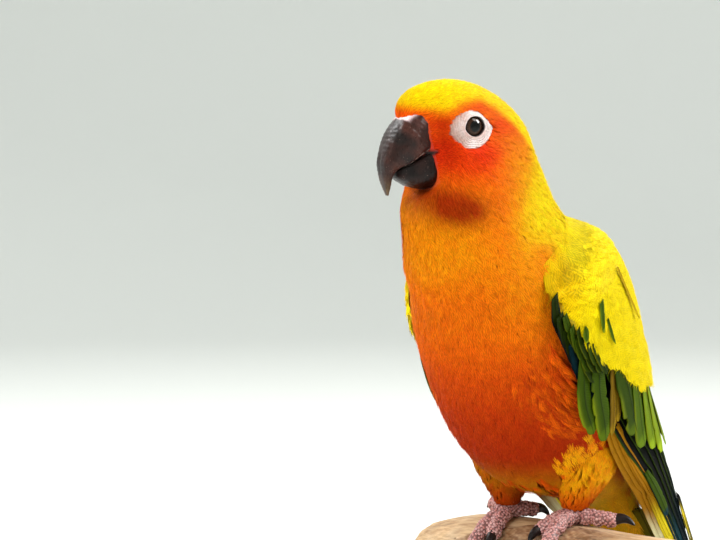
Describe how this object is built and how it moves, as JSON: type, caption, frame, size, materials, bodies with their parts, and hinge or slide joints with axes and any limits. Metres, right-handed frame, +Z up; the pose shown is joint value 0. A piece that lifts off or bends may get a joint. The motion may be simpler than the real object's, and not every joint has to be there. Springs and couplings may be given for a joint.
{
  "type": "sun conure",
  "caption": "Life-size still model of a sun conure perched on a short cut branch, head turned to its right, on a plain display stand.",
  "frame": {"origin": "centre of the stand base's underside, on the floor", "axes": "+Z up, the bird's body faces -Y, +X is the bird's left"},
  "size_m": [0.118, 0.1705, 0.2469],
  "materials": {
    "feather_orange": "soft barbed feather",
    "feather_yellow": "soft barbed feather",
    "feather_green": "smooth flight feather with a slight sheen",
    "bill": "polished dark horn",
    "eye": "wet gloss",
    "foot_skin": "granular scaled skin",
    "claw": "polished dark horn",
    "perch": "bare weathered branch with bark patches",
    "base": "satin varnish",
    "rod": "brushed"
  },
  "bodies": {
    "root": {"head": "feather_orange", "bill_upper": "bill", "bill_lower": "bill", "eye_left": "eye", "eye_right": "eye", "neck": "feather_yellow", "torso": "feather_orange", "wing_left": "feather_green", "wing_right": "feather_green", "tail": "feather_green", "thigh_left": "feather_yellow", "thigh_right": "feather_yellow", "foot_left": "foot_skin", "foot_right": "foot_skin", "claw_inner_front_left": "claw", "claw_outer_front_left": "claw", "claw_outer_back_left": "claw", "claw_inner_back_left": "claw", "claw_inner_front_right": "claw", "claw_outer_front_right": "claw", "claw_outer_back_right": "claw", "claw_inner_back_right": "claw", "perch_branch": "perch", "stand_base": "base", "stand_rod": "rod"}
  },
  "joints": []
}
